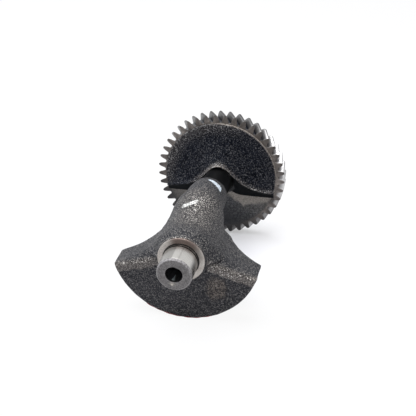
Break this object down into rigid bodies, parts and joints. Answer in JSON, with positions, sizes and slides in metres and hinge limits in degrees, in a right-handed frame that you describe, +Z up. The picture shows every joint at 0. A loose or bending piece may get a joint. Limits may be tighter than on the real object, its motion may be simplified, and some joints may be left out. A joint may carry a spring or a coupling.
{
  "type": "balance shaft",
  "caption": "Forged engine balance shaft: ground journal, fan-shaped counterweight below the axis, raised beam, and a helical gear carrying an opposed counterweight lobe.",
  "frame": {"origin": "on the shaft's axis at the machined face of the front journal's shoulder", "axes": "+Y along the axis from the front journal towards the gear, +Z up with the fan-shaped weight hanging down, +X to the right seen from the front journal"},
  "size_m": [0.0938, 0.168, 0.0945],
  "materials": {
    "forged_steel": "as forged and shot-blasted, dark scale with a fine grain",
    "ground_steel": "ground and turned bright steel",
    "tooth_steel": "hobbed teeth, light brown on the end faces and bright on the flanks"
  },
  "bodies": {
    "root": {"balance_shaft": "forged_steel"}
  },
  "joints": []
}
